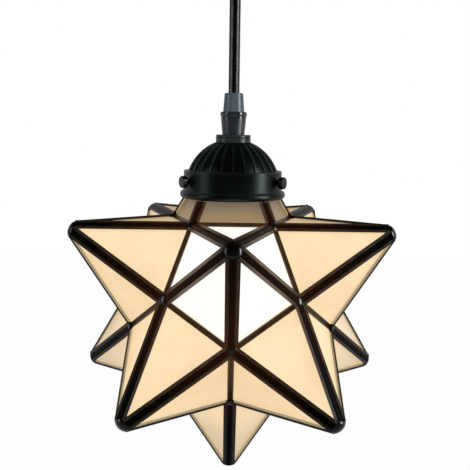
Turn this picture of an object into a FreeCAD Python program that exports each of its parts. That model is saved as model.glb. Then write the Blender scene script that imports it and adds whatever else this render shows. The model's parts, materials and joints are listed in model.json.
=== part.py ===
import FreeCAD, Part
import math
import os
import Sketcher
from FreeCAD import Placement, Rotation, Vector

# A leaded glass star of twelve five-sided points that hangs from the ceiling on a cord.
# Origin: where the canopy meets the ceiling, on the axis of the cord. +Z is up and the
# front point of the star looks towards -Y. Lengths are in millimetres.

doc = FreeCAD.newDocument("MoravianStarPendant")
sheet = doc.addObject("Spreadsheet::Sheet", "sizes")

SIZES = {
    # canopy and what holds it to the ceiling
    "canopy_radius": 57.5,
    "canopy_height": 26.0,
    "canopy_edge": 10.0,
    "sheet_wall": 1.2,
    "bar_end": 5.0,
    "bar_width": 18.0,
    "bar_thick": 1.6,
    "slot_spacing": 56.0,
    "slot_length": 16.0,
    "slot_width": 4.6,
    "stud_spacing": 84.0,
    "stud_radius": 2.0,
    "fit_gap": 0.05,
    "nut_across": 7.0,
    "nut_height": 3.2,
    "stud_past": 1.5,
    "ground_height": 2.4,
    "grip_height": 18.0,
    "grip_radius": 8.0,
    "grip_rim": 9.6,
    "grip_nose": 5.4,
    "grip_stem": 5.0,
    "stem_rise": 6.0,
    "ground_offset": 16.0,
    "ground_head": 3.2,
    "block_length": 24.0,
    "block_width": 14.0,
    "block_height": 9.0,
    "block_way": 1.6,
    "block_pitch": 7.7,
    # cord
    "cord_radius": 3.75,
    "cord_free": 64.4,
    "cord_tail": 8.0,
    "bend_gap": 0.8,
    "bend_step": 14.0,
    "mouth_depth": 2.0,
    "mouth_flare": 1.3,
    "cord_chamfer": 1.5,
    "small_edge": 0.4,
    # strain relief, collar and ring under it
    "relief_height": 12.6,
    "relief_top": 6.4,
    "relief_foot": 7.3,
    "neck_height": 15.4,
    "neck_top": 8.75,
    "neck_foot": 7.6,
    "neck_lip": 3.0,
    "ring_height": 5.6,
    "ring_radius": 12.0,
    "ring_groove": 3.5,
    "rod_radius": 5.0,
    "rod_bore": 4.0,
    "rod_above": 12.0,
    "rod_below": 11.3,
    "spigot_radius": 5.5,
    "spigot_length": 6.0,
    # fitter: ribbed dome, flange, band and rolled lip
    "dome_rise": 18.9,
    "dome_sphere": 31.4,
    "dome_sink": 10.8,
    "boss_radius": 10.5,
    "boss_wall": 2.4,
    "locknut_height": 3.0,
    "locknut_across": 14.0,
    "rib_proud": 1.1,
    "rib_thick": 1.2,
    "rib_count": 24,
    "band_height": 18.6,
    "band_top": 33.9,
    "band_foot": 34.2,
    "lip_radius": 35.2,
    "lip_height": 5.2,
    "lip_roll": 2.86,
    "screw_height": 11.5,
    "screw_head": 4.1,
    "screw_reach": 39.8,
    "head_length": 3.6,
    # lamp holder and bulb
    "holder_radius": 18.5,
    "holder_length": 30.0,
    "holder_cap": 15.9,
    "holder_neck": 12.0,
    "holder_boss": 8.0,
    "boss_step": 2.8,
    "shoulder": 9.5,
    "holder_skin": 1.6,
    "holder_rim": 19.5,
    "rim_height": 3.0,
    "holder_disc": 4.0,
    "rivet_radius": 3.0,
    "rivet_sink": 2.9,
    "sleeve_gap": 2.0,
    "sleeve_seat": 0.6,
    "contact_radius": 6.0,
    "contact_thick": 0.7,
    "sleeve_wall": 1.4,
    "sleeve_lip": 9.0,
    "thread_radius": 13.05,
    "thread_gap": 0.1,
    "bulb_radius": 22.5,
    "globe_drop": 28.4,
    "glass_wall": 1.0,
    "bulb_hip": 15.5,
    "bulb_tip": 4.0,
    "neck_drop": 6.0,
    "stem_radius": 3.0,
    "stem_reach": 22.0,
    # star
    "pane_base": 52.0,
    "pane_thick": 3.0,
    "ridge_inset": 2.8,
    "valley_inset": 0.8,
    "tip_cut": 4.4719,
    "pane_clear": 2.8613,
    "top_rise": 15.4,
    "ribbon_width": 8.2,
    "ribbon_thick": 0.5,
    "ribbon_lift": 0.15,
    "crown_width": 4.6,
    "crown_radius": 4.6,
    "leaf_thick": 0.8,
    "inner_leaf": 1.8,
    "valley_leaf": 2.4,
    "heart_depth": 2.2,
    "came_gap": 0.1,
    "mitre_gap": 0.06,
    "hub_radius": 2.6,
    "cap_radius": 5.0,
    "cap_height": 3.4,
    "cap_blunt": 1.8,
    "collar_radius": 28.5,
    "collar_height": 15.7,
    "collar_flange": 32.0,
    "collar_wall": 1.0,
    "seat_gap": 0.4,
}

for row, (alias, number) in enumerate(SIZES.items(), start=1):
    sheet.set("A%d" % row, alias)
    sheet.set("B%d" % row, str(number))
    sheet.setAlias("B%d" % row, alias)
doc.recompute()


class Size:
    """A length: its number, and the formula of sheet cells that gives it."""

    def __init__(self, number, formula):
        self.number = number
        self.formula = formula

    def join(self, other, sign, flip=False):
        if not isinstance(other, Size):
            other = Size(float(other), "%.9f" % other)
        first, second = (other, self) if flip else (self, other)
        numbers = {
            "+": lambda: first.number + second.number,
            "-": lambda: first.number - second.number,
            "*": lambda: first.number * second.number,
            "/": lambda: first.number / second.number,
        }
        return Size(numbers[sign](), "(%s %s %s)" % (first.formula, sign, second.formula))

    def __add__(self, other):
        return self.join(other, "+")

    def __radd__(self, other):
        return self.join(other, "+", flip=True)

    def __sub__(self, other):
        return self.join(other, "-")

    def __rsub__(self, other):
        return self.join(other, "-", flip=True)

    def __mul__(self, other):
        return self.join(other, "*")

    def __rmul__(self, other):
        return self.join(other, "*", flip=True)

    def __truediv__(self, other):
        return self.join(other, "/")

    def __neg__(self):
        return self.join(-1, "*")

    def root(self):
        return Size(math.sqrt(self.number), "sqrt(%s)" % self.formula)


def cell(alias):
    return Size(float(sheet.get(alias)), "sizes." + alias)


def as_size(value):
    return value if isinstance(value, Size) else Size(float(value), "%.9f" % value)


def bind(thing, prop, value):
    thing.setExpression(prop, as_size(value).formula)


def circle_x(radius, height):
    """How far out a circle about the origin is at a height."""
    return (radius * radius - height * height).root()


# ---------------------------------------------------------------- sketches and features

def origin_plane(body, role):
    return next(f for f in body.Origin.OriginFeatures if f.Role == role)


def place(thing, prop, at, turn=None):
    """Turns a placement by a fixed rotation and binds its three coordinates."""
    at = [as_size(value) for value in at]
    setattr(thing, prop, Placement(Vector(*[v.number for v in at]), turn or Rotation()))
    for axis, value in zip("xyz", at):
        bind(thing, "%s.Base.%s" % (prop, axis), value)


def arc_between(start, end, radius):
    """The arc from start to end; a positive radius has its centre on the left of the way."""
    chord = end - start
    rise = math.sqrt(max(radius * radius - chord.Length ** 2 / 4, 0.0))
    left = Vector(-chord.y, chord.x, 0).normalize()
    side = 1 if radius > 0 else -1
    centre = (start + end) * 0.5 + left * rise * side
    first, last = (start, end) if radius > 0 else (end, start)
    angles = [math.atan2((p - centre).y, (p - centre).x) for p in (first, last)]
    circle = Part.Circle(centre, Vector(0, 0, 1), abs(radius))
    return Part.ArcOfCircle(circle, angles[0], angles[1])


def outline(body, name, role, corners, at=(0, 0, 0), turn=None):
    """A closed sketch. A corner is (x, y), or (x, y, radius) where an arc leaves it."""
    sketch = body.newObject("Sketcher::SketchObject", name)
    sketch.AttachmentSupport = [(origin_plane(body, role), "")]
    sketch.MapMode = "FlatFace"
    place(sketch, "AttachmentOffset", at, turn)
    count = len(corners)
    places = [Vector(as_size(c[0]).number, as_size(c[1]).number, 0) for c in corners]
    heads = []
    for i, corner in enumerate(corners):
        start, end = places[i], places[(i + 1) % count]
        if len(corner) == 3:
            radius = as_size(corner[2])
            sketch.addGeometry(arc_between(start, end, radius.number))
            heads.append((1, 2) if radius.number > 0 else (2, 1))
        else:
            sketch.addGeometry(Part.LineSegment(start, end))
            heads.append((1, 2))
    for i in range(count):
        after = (i + 1) % count
        sketch.addConstraint(Sketcher.Constraint("Coincident", i, heads[i][1], after, heads[after][0]))
    for i, corner in enumerate(corners):
        for kind, letter, value in (("DistanceX", "x", corner[0]), ("DistanceY", "y", corner[1])):
            value = as_size(value)
            if abs(value.number) < 1e-9:
                axis = -2 if kind == "DistanceX" else -1
                sketch.addConstraint(Sketcher.Constraint("PointOnObject", i, heads[i][0], axis))
                continue
            rule = Sketcher.Constraint(kind, -1, 1, i, heads[i][0], value.number)
            sketch.renameConstraint(sketch.addConstraint(rule), "%s%d" % (letter, i))
            bind(sketch, "Constraints.%s%d" % (letter, i), value)
        if len(corner) == 3:
            radius = as_size(corner[2])
            rule = Sketcher.Constraint("Radius", i, abs(radius.number))
            sketch.renameConstraint(sketch.addConstraint(rule), "r%d" % i)
            bind(sketch, "Constraints.r%d" % i, radius if radius.number > 0 else -radius)
    return sketch


def ring_sketch(body, name, role, circles, at=(0, 0, 0), turn=None):
    """A sketch of whole circles, each (x, y, radius)."""
    sketch = body.newObject("Sketcher::SketchObject", name)
    sketch.AttachmentSupport = [(origin_plane(body, role), "")]
    sketch.MapMode = "FlatFace"
    place(sketch, "AttachmentOffset", at, turn)
    for i, circle in enumerate(circles):
        x, y, radius = [as_size(value) for value in circle]
        centre = Vector(x.number, y.number, 0)
        sketch.addGeometry(Part.Circle(centre, Vector(0, 0, 1), radius.number))
        for kind, letter, value in (("DistanceX", "x", x), ("DistanceY", "y", y)):
            if abs(value.number) < 1e-9:
                axis = -2 if kind == "DistanceX" else -1
                sketch.addConstraint(Sketcher.Constraint("PointOnObject", i, 3, axis))
                continue
            rule = Sketcher.Constraint(kind, -1, 1, i, 3, value.number)
            sketch.renameConstraint(sketch.addConstraint(rule), "%s%d" % (letter, i))
            bind(sketch, "Constraints.%s%d" % (letter, i), value)
        rule = Sketcher.Constraint("Radius", i, radius.number)
        sketch.renameConstraint(sketch.addConstraint(rule), "r%d" % i)
        bind(sketch, "Constraints.r%d" % i, radius)
    return sketch


def new_body(label, at=(0, 0, 0), turn=None):
    body = doc.addObject("PartDesign::Body", label)
    body.Label = label
    place(body, "Placement", at, turn)
    return body


def spin(body, name, sketch):
    """A full revolution of a sketch about its own vertical axis."""
    turned = body.newObject("PartDesign::Revolution", name)
    turned.Profile = sketch
    turned.ReferenceAxis = (sketch, ["V_Axis"])
    turned.Angle = 360
    return turned


def pad(body, name, sketch, length, both_ways=False, backwards=False):
    grown = body.newObject("PartDesign::Pad", name)
    grown.Profile = sketch
    bind(grown, "Length", length)
    grown.SideType = "Symmetric" if both_ways else "One side"
    grown.Reversed = backwards
    return grown


def pocket(body, name, sketch, length=None, both_ways=False, backwards=False):
    hole = body.newObject("PartDesign::Pocket", name)
    hole.Profile = sketch
    hole.SideType = "Symmetric" if both_ways else "One side"
    hole.Reversed = backwards
    if length is None:
        hole.Type = "ThroughAll"
    else:
        bind(hole, "Length", length)
    return hole


def round_pattern(body, name, features, count):
    """Copies features evenly round the body's own Z axis."""
    ring = body.newObject("PartDesign::PolarPattern", name)
    ring.Originals = features
    ring.Axis = (origin_plane(body, "Z_Axis"), [""])
    ring.Angle = 360
    bind(ring, "Occurrences", count)
    body.Tip = ring
    return ring


def turned_piece(label, corners, at=(0, 0, 0), turn=None):
    """A body revolved about its Z axis from (radius, height) corners."""
    body = new_body(label, at, turn)
    spin(body, label + "_turned", outline(body, label + "_outline", "XZ_Plane", corners))
    return body


def hex_corners(across):
    """The six corners of a hexagon with the given width across its flats."""
    radius = across / math.sqrt(3)
    angles = [math.radians(60 * k) for k in range(6)]
    return [(radius * math.cos(a), radius * math.sin(a)) for a in angles]


def hex_nut(label, across, height, bore, at):
    """A nut that stands up from its place, with a plain bore."""
    body = new_body(label, at)
    pad(body, label + "_hexagon", outline(body, label + "_flats", "XY_Plane", hex_corners(across)), height)
    pocket(body, label + "_bore", ring_sketch(body, label + "_hole", "XY_Plane", [(0, 0, bore)]),
           both_ways=True)
    return body


def linked(master, name, at=(0, 0, 0), turn=None):
    copy = doc.addObject("App::Link", name)
    copy.LinkedObject = master
    place(copy, "Placement", at, turn)
    return copy


def grouped(label, copies, at=(0, 0, 0)):
    """One sub-part made of several separate solids."""
    group = doc.addObject("Part::Compound", label)
    group.Label = label
    group.Links = copies
    place(group, "Placement", at)
    return group


# ---------------------------------------------------------------- geometry of the star

GOLDEN = (1 + math.sqrt(5)) / 2
FACE_DISTANCE = GOLDEN ** 2 / (2 * math.sqrt(3 - GOLDEN))
EDGE_DISTANCE = GOLDEN ** 2 / 2
CORNER_DISTANCE = math.sqrt(3) * GOLDEN / 2
BASE_INRADIUS = 1 / (2 * math.tan(math.pi / 5))
BASE_CIRCUMRADIUS = 1 / (2 * math.sin(math.pi / 5))
PANE_SLANT = math.sqrt(GOLDEN ** 2 - 0.25)
POINT_HEIGHT = math.sqrt(PANE_SLANT ** 2 - BASE_INRADIUS ** 2)
FACE_TILT = math.degrees(math.atan(2))
PANE_LEAN = math.degrees(math.atan2(BASE_INRADIUS, POINT_HEIGHT))
RIDGE_LEAN = math.degrees(math.atan2(BASE_CIRCUMRADIUS, POINT_HEIGHT))
# half the angle between the two panes of a ridge; a valley opens by the same angle
HALF_ANGLE = math.atan(GOLDEN)
SIN_HALF, COS_HALF = math.sin(HALF_ANGLE), math.cos(HALF_ANGLE)
SIN_MITRE, COS_MITRE = math.sin(math.radians(36)), math.cos(math.radians(36))
TAN_TIP, COS_TIP = math.tan(math.radians(18)), math.cos(math.radians(18))

X, Y, Z = Vector(1, 0, 0), Vector(0, 1, 0), Vector(0, 0, 1)
pane_base = cell("pane_base")
face_height = FACE_DISTANCE * pane_base
# heights of a point above its base: where its cap ends and starts, and where its panes end under it
point_height = POINT_HEIGHT * pane_base
cap_end = point_height - cell("tip_cut")
cap_start = cap_end - cell("cap_height")
pane_end = cap_start - cell("pane_clear")


def about(axis, degrees):
    return Rotation(axis, degrees)


def facing(degrees):
    """The level direction at an angle from the front, counted towards +X."""
    angle = math.radians(degrees)
    return Vector(math.sin(angle), -math.cos(angle), 0)


# the turn that carries the upright point onto each of the twelve points
POINT_TURNS = {"top": Rotation(), "bottom": about(X, 180)}
for number in range(5):
    around = about(Z, 72 * number)
    lean = about(X, FACE_TILT) * about(Z, 180)
    POINT_TURNS["upper_%d" % (number + 1)] = around * lean
    POINT_TURNS["lower_%d" % (number + 1)] = around * about(X, 180) * lean


def corner_directions():
    """Where the twenty inner corners of the star lie, as vectors for a pane base of 1."""
    found = []
    for turn in POINT_TURNS.values():
        for k in range(5):
            corner = facing(36 + 72 * k) * BASE_CIRCUMRADIUS + Z * FACE_DISTANCE
            corner = turn.multVec(corner)
            if all((corner - other).Length > 0.1 for other in found):
                found.append(corner)
    return found


CORNERS = corner_directions()
EDGES = [(a, b) for i, a in enumerate(CORNERS) for b in CORNERS[i + 1:] if abs((a - b).Length - 1) < 0.01]

# ---------------------------------------------------------------- heights, from the ceiling down

grip_mouth = -(cell("canopy_height") + cell("grip_height"))
swing_point = grip_mouth + cell("mouth_depth")
bend_point = swing_point - cell("bend_step")
relief_top = grip_mouth - cell("cord_free")
neck_top = relief_top - cell("relief_height")
ring_top = neck_top - cell("neck_height")
dome_top = ring_top - cell("ring_height")
lip_foot = dome_top - cell("dome_rise") - cell("band_height")
saw_height = lip_foot - cell("seat_gap")
star_centre = saw_height - cell("top_rise") - face_height
holder_top = dome_top - cell("boss_wall") - cell("locknut_height")
shell_top = holder_top - cell("holder_cap")
sleeve_foot = cell("sleeve_gap") - cell("holder_length")

cord_radius = cell("cord_radius")
fit_gap = cell("fit_gap")
wall = cell("sheet_wall")
stud_radius = cell("stud_radius")
rod_hole = cell("rod_radius") + fit_gap
cord_hole = cord_radius + fit_gap


# ---------------------------------------------------------------- canopy

def make_crossbar():
    """The strip on the ceiling, with two slots for the box screws and two stud holes."""
    body = new_body("crossbar")
    half, deep = cell("stud_spacing") / 2 + cell("bar_end"), cell("bar_width") / 2
    nick = deep / 3
    corners = [(half - nick, -deep), (half, -deep + nick), (half, deep - nick), (half - nick, deep),
               (nick - half, deep), (-half, deep - nick), (-half, nick - deep), (nick - half, -deep)]
    pad(body, "bar_strip", outline(body, "bar_shape", "XY_Plane", corners), cell("bar_thick"),
        backwards=True)
    middle, radius = cell("slot_spacing") / 2, cell("slot_width") / 2
    straight = cell("slot_length") / 2 - radius
    for side, name in ((-1, "slot_left"), (1, "slot_right")):
        ends = [side * middle - straight, side * middle + straight]
        sides = [(ends[0], -radius), (ends[1], -radius), (ends[1], radius), (ends[0], radius)]
        pocket(body, name, outline(body, name + "_sides", "XY_Plane", sides), both_ways=True)
        rounds = [(x, 0, radius) for x in ends]
        pocket(body, name + "_ends", ring_sketch(body, name + "_rounds", "XY_Plane", rounds), both_ways=True)
    studs = [(side * cell("stud_spacing") / 2, 0, stud_radius + fit_gap) for side in (-1, 1)]
    ground = [(cell("ground_offset"), 0, stud_radius + fit_gap)]
    pocket(body, "bar_holes", ring_sketch(body, "bar_circles", "XY_Plane", studs + ground), both_ways=True)


def make_canopy():
    """A pressed pan with a rounded edge, open towards the ceiling."""
    radius, height, edge = cell("canopy_radius"), cell("canopy_height"), cell("canopy_edge")
    bore = cell("grip_stem") + fit_gap
    corners = [(bore, -height), (radius - edge, -height, edge), (radius, edge - height), (radius, 0),
               (radius - wall, 0), (radius - wall, edge - height, wall - edge),
               (radius - edge, wall - height), (bore, wall - height)]
    body = turned_piece("canopy", corners)
    holes = [(side * cell("stud_spacing") / 2, 0, stud_radius + fit_gap) for side in (-1, 1)]
    pocket(body, "canopy_holes", ring_sketch(body, "canopy_circles", "XY_Plane", holes), both_ways=True)


def make_canopy_fixings():
    """Two studs with domed nuts, and the ground screw."""
    reach = cell("canopy_height") + cell("nut_height") + cell("stud_past")
    tip = cell("small_edge")
    stud = turned_piece("stud_pattern", [(0, -reach), (stud_radius - tip, -reach),
                                         (stud_radius, tip - reach), (stud_radius, 0), (0, 0)])
    nut = new_body("cap_nut_pattern")
    height, bore = cell("nut_height"), stud_radius + fit_gap
    hexagon = outline(nut, "cap_nut_flats", "XY_Plane", hex_corners(cell("nut_across")))
    pad(nut, "cap_nut_hexagon", hexagon, height, backwards=True)
    dome, root = cell("nut_across") / 2 - tip, -height + tip
    spin(nut, "cap_nut_dome", outline(nut, "cap_nut_arc", "XZ_Plane", [
        (0, root), (0, -height - dome, dome), (dome, -height), (dome, root)]))
    pocket(nut, "cap_nut_bore", ring_sketch(nut, "cap_nut_hole", "XY_Plane", [(0, 0, bore)]),
           height + cell("stud_past") + fit_gap)
    for label, master, level in (("canopy_studs", stud, 0), ("cap_nuts", nut, -cell("canopy_height"))):
        copies = [linked(master, "%s_%d" % (label, side), (side * cell("stud_spacing") / 2, 0, level))
                  for side in (-1, 1)]
        grouped(label, copies)
    head, under = cell("ground_head"), -cell("bar_thick")
    foot = under - cell("ground_height")
    turned_piece("ground_screw", [(0, foot), (head - tip, foot), (head, foot + tip), (head, under),
                                  (stud_radius, under), (stud_radius, -fit_gap), (0, -fit_gap)],
                 at=(cell("ground_offset"), 0, 0))


def make_canopy_grip():
    """The gland that carries the cord, its nut inside the canopy and the terminal block."""
    height, radius, stem = cell("grip_height"), cell("grip_radius"), cell("grip_stem")
    mouth, nose, rim = cell("mouth_depth"), cell("grip_nose"), cell("grip_rim")
    top = wall + cell("stem_rise")
    corners = [(cord_hole + cell("mouth_flare"), -height), (nose, -height), (radius, nose - height),
               (radius, radius - rim * 2), (rim, -rim / 3), (rim, 0), (stem, 0), (stem, top),
               (cord_hole, top), (cord_hole, mouth - height)]
    turned_piece("canopy_grip", corners, at=(0, 0, -cell("canopy_height")))
    inside = wall - cell("canopy_height")
    hex_nut("grip_locknut", cell("locknut_across"), cell("locknut_height"), stem + fit_gap, (0, 0, inside))
    block = new_body("terminal_block", (0, 0, -cell("bar_thick")))
    half, deep = cell("block_length") / 2, cell("block_width") / 2
    corners = [(-half, -deep), (half, -deep), (half, deep), (-half, deep)]
    pad(block, "block_body", outline(block, "block_shape", "XY_Plane", corners), cell("block_height"),
        backwards=True)
    ways = [(cell("block_pitch") * k, -cell("block_height") / 2, cell("block_way")) for k in (-1, 0, 1)]
    wells = ring_sketch(block, "block_wells", "XZ_Plane", ways)
    pocket(block, "block_ways", wells, both_ways=True)


# ---------------------------------------------------------------- cord

def make_cord():
    """The cord in four stretches: in the canopy, its first bend, its free run, in the fitter."""
    entry = -(cell("bar_thick") + cell("block_height") + cell("came_gap"))
    stretches = {
        "cord_in_canopy": (swing_point, entry, False),
        "cord_bend": (bend_point + cell("bend_gap"), swing_point - cell("bend_gap"), True),
        "cord_free": (relief_top, bend_point, True),
        "cord_in_fitter": (holder_top - cell("cord_tail"), relief_top, False),
    }
    ease = cell("cord_chamfer")
    for label, (low, high, eased) in stretches.items():
        length = high - low
        corners = [(0, 0), (cord_radius, 0), (cord_radius, length), (0, length)]
        if eased:
            corners[2:3] = [(cord_radius, length - ease), (cord_radius - ease, length)]
        turned_piece(label, corners, at=(0, 0, low))


# ---------------------------------------------------------------- fitter

def make_neck_pieces():
    """The strain relief, the tapered collar that it sits in, the ring and the hollow rod."""
    height, foot, top = cell("relief_height"), cell("relief_foot"), cell("relief_top")
    spigot, deep, edge = cell("spigot_radius"), cell("spigot_length"), cell("small_edge")
    turned_piece("strain_relief", [(cord_hole, -deep), (spigot, -deep), (spigot, 0), (foot, 0),
                                   (top, height - edge), (top - edge, height), (cord_hole, height)],
                 at=(0, 0, neck_top))
    height, foot, top = cell("neck_height"), cell("neck_foot"), cell("neck_top")
    band, socket = cell("neck_lip"), spigot + fit_gap
    seat = height - deep - fit_gap
    turned_piece("neck_collar", [(rod_hole, 0), (foot, 0), (top, height - band, band), (top, height),
                                 (socket, height), (socket, seat), (rod_hole, seat)], at=(0, 0, ring_top))
    radius, height, groove = cell("ring_radius"), cell("ring_height"), cell("ring_groove")
    turned_piece("check_ring", [(rod_hole, 0), (radius - edge, 0), (radius, edge), (radius, groove - edge),
                                (radius - edge, groove), (radius, groove + edge), (radius, height - edge),
                                (radius - edge, height), (rod_hole, height)], at=(0, 0, dome_top))
    rod, bore = cell("rod_radius"), cell("rod_bore")
    low, high = -cell("rod_below"), cell("rod_above")
    turned_piece("hollow_rod", [(bore, low), (rod, low), (rod, high), (bore, high)], at=(0, 0, dome_top))
    hex_nut("rod_locknut", cell("locknut_across"), cell("locknut_height"), rod_hole, (0, 0, holder_top))


def make_fitter():
    """The ribbed dome, its flat flange and the band with a rolled lip, spun from one sheet."""
    radius, sink = cell("dome_sphere"), cell("dome_sink")
    flange, top = cell("band_height"), cell("band_height") + cell("dome_rise")
    centre = flange - sink
    inner = radius - wall
    boss, roof = cell("boss_radius"), top - cell("boss_wall")
    lip, roll, lip_top = cell("lip_radius"), cell("lip_roll"), cell("lip_height")
    band_top, band_foot = cell("band_top"), cell("band_foot")
    edge = cell("small_edge")
    corners = [(lip - wall, 0), (lip, 0, roll), (band_foot, lip_top), (band_top, flange - edge),
               (band_top - edge, flange), (circle_x(radius, sink), flange, radius),
               (boss, centre + circle_x(radius, boss)), (boss, top), (rod_hole, top), (rod_hole, roof),
               (circle_x(inner, roof - centre), roof, -inner),
               (circle_x(inner, sink - wall), flange - wall), (band_top - wall, flange - wall),
               (band_foot - wall, lip_top)]
    body = turned_piece("shade_fitter", corners, at=(0, 0, lip_foot))
    crest, root = radius + cell("rib_proud"), radius - wall / 2
    sunk = wall / 4
    low, high = sink - sunk, cell("ring_radius") + cell("came_gap")
    rib = outline(body, "rib_shape", "XZ_Plane", [
        (circle_x(root, low), flange - sunk), (circle_x(crest, low), flange - sunk, crest),
        (high, centre + circle_x(crest, high)), (high, centre + circle_x(root, high), -root)])
    first = pad(body, "rib", rib, cell("rib_thick"), both_ways=True)
    round_pattern(body, "ribs", [first], cell("rib_count"))
    hole = ring_sketch(body, "screw_circle", "XZ_Plane", [(0, cell("screw_height"), stud_radius + fit_gap)])
    first = pocket(body, "screw_hole", hole)
    round_pattern(body, "screw_holes", [first], 3)


def make_thumb_screws():
    """Three screws through the band that press on the collar of the star."""
    tip, reach = cell("collar_radius") + cell("came_gap"), cell("screw_reach")
    head, length = cell("screw_head"), cell("head_length")
    edge = cell("small_edge")
    corners = [(0, tip), (stud_radius - edge, tip), (stud_radius, tip + edge), (stud_radius, reach - length),
               (head - edge, reach - length), (head, reach - length + edge), (head, reach - edge),
               (head - edge, reach), (0, reach)]
    for number, angle in enumerate((-60, 60, 180), start=1):
        turned_piece("thumb_screw_%d" % number, corners, at=(0, 0, lip_foot + cell("screw_height")),
                     turn=Rotation(Z, facing(angle)))


# ---------------------------------------------------------------- lamp holder and bulb

def make_lamp_holder():
    """A screw lamp holder: cap, shell, threaded sleeve and centre contact."""
    radius, length, skin = cell("holder_radius"), cell("holder_length"), cell("holder_skin")
    cap, neck, boss, step = cell("holder_cap"), cell("holder_neck"), cell("holder_boss"), cell("boss_step")
    shoulder = cell("shoulder")
    turned_piece("holder_cap", [
        (rod_hole, -step - skin), (neck - skin, -step - skin), (radius - skin, -shoulder),
        (radius - skin, -cap), (radius, -cap), (radius, -shoulder), (neck, -step), (boss, -step),
        (boss, 0), (rod_hole, 0)], at=(0, 0, holder_top))
    sleeve = cell("thread_radius") + cell("thread_gap")
    outside = sleeve + cell("sleeve_wall")
    disc, rivet, rim = cell("holder_disc"), cell("rivet_radius"), cell("holder_rim")
    rim_top = cell("rim_height") - length
    turned_piece("holder_shell", [
        (outside, -length), (rim, -length), (rim, rim_top), (radius, rim_top), (radius, 0),
        (rivet, 0), (rivet, -disc), (outside, -disc)], at=(0, 0, shell_top))
    lip, top, thick = cell("sleeve_lip"), -disc - cell("sleeve_gap"), cell("sleeve_seat")
    body = outside - fit_gap
    turned_piece("threaded_sleeve", [
        (sleeve, sleeve_foot), (body, sleeve_foot), (body, top), (lip, top), (lip, top - thick),
        (sleeve, top - thick)], at=(0, 0, shell_top))
    wide, thick, stalk = cell("contact_radius"), cell("contact_thick"), rivet - cell("came_gap")
    turned_piece("centre_contact", [
        (0, -disc - thick), (wide, -disc - thick), (wide, -disc), (stalk, -disc),
        (stalk, cell("rivet_sink") - disc), (0, cell("rivet_sink") - disc)], at=(0, 0, shell_top))


def make_bulb():
    """A 45 mm globe bulb in the holder."""
    thread, skin, gap = cell("thread_radius"), cell("glass_wall"), cell("came_gap")
    top = -(cell("holder_disc") + cell("sleeve_gap") + cell("sleeve_seat") + gap)
    lip = cell("sleeve_lip") - skin
    neck = thread - skin - gap
    turned_piece("bulb_base", [
        (lip, top - skin), (thread - skin, top - skin), (thread - skin, sleeve_foot), (thread, sleeve_foot),
        (thread, top - skin), (thread - skin, top), (lip, top)], at=(0, 0, shell_top))
    contact, tip = -(cell("holder_disc") + cell("contact_thick") + gap), cell("bulb_tip")
    turned_piece("bulb_contact", [
        (0, top - skin), (lip - fit_gap, top - skin), (lip - fit_gap, top), (tip, contact), (0, contact)],
        at=(0, 0, shell_top))
    globe, inner, hip = cell("bulb_radius"), cell("bulb_radius") - skin, cell("bulb_hip")
    centre = sleeve_foot - cell("globe_drop")
    neck_foot, neck_head = sleeve_foot - skin, top - cell("neck_drop")
    turned_piece("bulb_glass", [
        (neck - skin, neck_head), (neck - skin, neck_foot),
        (hip - skin, centre + circle_x(inner, hip - skin)), (inner, centre), (hip - skin, centre - hip),
        (0, centre - inner),
        (0, centre - globe, globe), (hip, centre + circle_x(globe, hip)), (neck, neck_foot),
        (neck, neck_head)], at=(0, 0, shell_top))
    stem, reach = neck - skin - gap, cell("stem_reach")
    turned_piece("bulb_stem", [
        (0, neck_foot - reach), (cell("stem_radius"), neck_foot - reach), (cell("stem_radius"), neck_foot),
        (stem, neck_head - skin), (stem, neck_head), (0, neck_head)], at=(0, 0, shell_top))


# ---------------------------------------------------------------- star

def cutter(name, point, along, away, reach=40, clear=0):
    """A block with one face through a point, or clear of it; it removes what lies on the away side."""
    side = along.cross(away)
    offset = (along + side) * (-reach / 2)
    block = doc.addObject("Part::Box", name)
    for prop in ("Length", "Width", "Height"):
        setattr(block, prop, reach)
    corner = [point[i] + offset[i] - away[i] * clear for i in range(3)]
    place(block, "Placement", corner, Rotation(along, away, side, "XYZ"))
    return block


def cut_with(name, base, cutters):
    """The base without what the cutters cover."""
    if len(cutters) > 1:
        tool = doc.addObject("Part::MultiFuse", name + "_cutters")
        tool.Shapes = cutters
    else:
        tool = cutters[0]
    rest = doc.addObject("Part::Cut", name)
    rest.Base = base
    rest.Tool = tool
    return rest


def make_pane(label, sawn):
    """One square-cut pane of the point that stands upright, facing the front."""
    body = new_body(label)
    inset, foot = cell("ridge_inset") / COS_TIP, cell("valley_inset")
    slant = PANE_SLANT * pane_base
    blunt = slant * (1 - pane_end / point_height)
    wide, narrow = (slant - foot) * TAN_TIP - inset, blunt * TAN_TIP - inset
    corners = [(-wide, foot), (wide, foot), (narrow, slant - blunt), (-narrow, slant - blunt)]
    glass = outline(body, label + "_shape", "XY_Plane", corners,
                    at=(0, -BASE_INRADIUS * pane_base, face_height), turn=about(X, 90 - PANE_LEAN))
    pad(body, label + "_glass", glass, cell("pane_thick"), backwards=True)
    if sawn:
        above = ring_sketch(body, label + "_saw", "XY_Plane", [(0, 0, 2 * pane_base)],
                            at=(0, 0, face_height + cell("top_rise")))
        pocket(body, label + "_sawn", above, backwards=True)
    return body


def leaf_point(along, above, side, rising):
    """A point of a came's section: along a pane from its edge line, and above the glass."""
    across = SIN_HALF * along - rising * COS_HALF * above
    return (side * across, rising * COS_HALF * along + SIN_HALF * above)


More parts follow.
